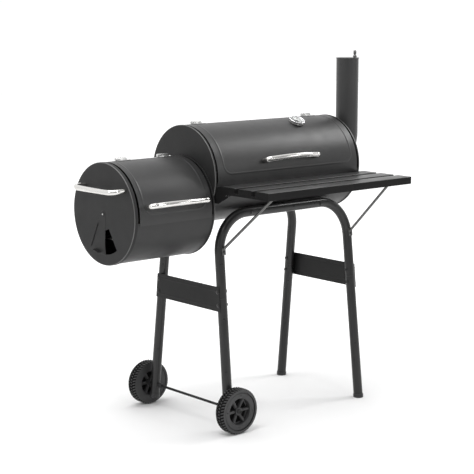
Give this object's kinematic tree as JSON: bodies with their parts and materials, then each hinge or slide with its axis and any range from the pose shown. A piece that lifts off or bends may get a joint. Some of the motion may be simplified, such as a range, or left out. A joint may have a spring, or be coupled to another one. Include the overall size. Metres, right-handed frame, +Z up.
{
  "type": "offset smoker",
  "caption": "Barrel charcoal smoker with an offset firebox, side chimney, front slatted shelf and a wheeled tube stand; lids, damper, chimney cap and wheels move.",
  "frame": {"origin": "bottom centre of the bounding box, on the floor", "axes": "+Z up; -Y is the front, where the shelf and lid handles are; +X runs along the drums from the firebox to the chimney"},
  "size_m": [1.0955, 0.6145, 1.1245],
  "materials": {
    "black_paint": "satin heat-resistant black",
    "dark_paint": "matte heat-resistant black",
    "black_plastic": "moulded matte black",
    "stainless": "brushed stainless tube",
    "chrome": "polished",
    "zinc": "bright zinc plate",
    "grate_steel": "plated wire, slightly dull",
    "dial_white": "matte white print",
    "glass": "clear"
  },
  "bodies": {
    "base": {"axle": "dark_paint", "axle_nut_front": "dark_paint", "axle_nut_rear": "dark_paint", "axle_sleeve_front": "dark_paint", "axle_sleeve_rear": "dark_paint", "charcoal_grate": "grate_steel", "chimney_flange": "black_paint", "chimney_pipe": "black_paint", "chimney_spindle": "zinc", "cooking_grate_left": "grate_steel", "cooking_grate_right": "grate_steel", "firebox_cap_left": "dark_paint", "firebox_cap_right": "black_paint", "firebox_charcoal_grate": "grate_steel", "firebox_cooking_grate": "grate_steel", "firebox_end_handle": "stainless", "firebox_hinge_base_left": "zinc", "firebox_hinge_base_right": "zinc", "firebox_tub": "black_paint", "foot_cap_front_left": "black_plastic", "foot_cap_front_right": "black_plastic", "foot_cap_rear_left": "black_plastic", "foot_cap_rear_right": "black_plastic", "frame_front": "black_paint", "frame_rear": "black_paint", "leg_front_left": "black_paint", "leg_front_right": "black_paint", "leg_rear_left": "black_paint", "leg_rear_right": "black_paint", "main_cap_left": "black_paint", "main_cap_right": "black_paint", "main_hinge_base_left": "zinc", "main_hinge_base_right": "zinc", "main_tub": "black_paint", "shelf_brace_left": "black_paint", "shelf_brace_right": "black_paint", "shelf_bracket_left": "black_paint", "shelf_bracket_right": "black_paint", "shelf_slat_front": "black_paint", "shelf_slat_middle": "black_paint", "shelf_slat_rear": "black_paint", "side_panel_left": "black_paint", "side_panel_right": "black_paint", "vent_screw": "zinc"},
    "main_lid": {"main_lid": "black_paint", "main_lid_handle": "stainless", "main_hinge_leaf_left": "zinc", "main_hinge_leaf_right": "zinc", "thermometer_case": "chrome", "thermometer_dial": "dial_white", "thermometer_glass": "glass"},
    "firebox_lid": {"firebox_lid": "black_paint", "firebox_lid_handle": "stainless", "firebox_hinge_leaf_left": "zinc", "firebox_hinge_leaf_right": "zinc"},
    "vent_damper": {"vent_damper": "black_paint"},
    "chimney_cap": {"chimney_cap": "black_paint"},
    "wheel_front": {"wheel_front": "black_plastic"},
    "wheel_rear": {"wheel_rear": "black_plastic"},
    "thermometer_needle": {"thermometer_needle": "black_plastic"}
  },
  "joints": [
    {"name": "main_lid_hinge", "type": "hinge", "parent": "base", "child": "main_lid", "pos_m": [0.10865, 0.09234, 0.91949], "axis": [-1, 0, 0], "range_deg": [0, 125]},
    {"name": "firebox_lid_hinge", "type": "hinge", "parent": "base", "child": "firebox_lid", "pos_m": [-0.33985, 0.09234, 0.82809], "axis": [-1, 0, 0], "range_deg": [0, 125]},
    {"name": "vent_damper_pivot", "type": "hinge", "parent": "base", "child": "vent_damper", "pos_m": [-0.49235, 0.0707, 0.6741], "axis": [-1, 0, 0], "range_deg": [-60, 33.2]},
    {"name": "chimney_cap_swivel", "type": "hinge", "parent": "base", "child": "chimney_cap", "pos_m": [0.52565, 0.0527, 1.0975], "axis": [0, 0, 1], "continuous": true},
    {"name": "wheel_front_spin", "type": "hinge", "parent": "base", "child": "wheel_front", "pos_m": [-0.16972, -0.1463, 0.07], "axis": [0, 1, 0], "continuous": true},
    {"name": "wheel_rear_spin", "type": "hinge", "parent": "base", "child": "wheel_rear", "pos_m": [-0.16972, 0.2877, 0.07], "axis": [0, 1, 0], "continuous": true},
    {"name": "thermometer_needle_turn", "type": "hinge", "parent": "main_lid", "child": "thermometer_needle", "pos_m": [0.22065, 0.01154, 0.90486], "axis": [0, -0.3907, 0.9205], "range_deg": [-250, 0]}
  ]
}
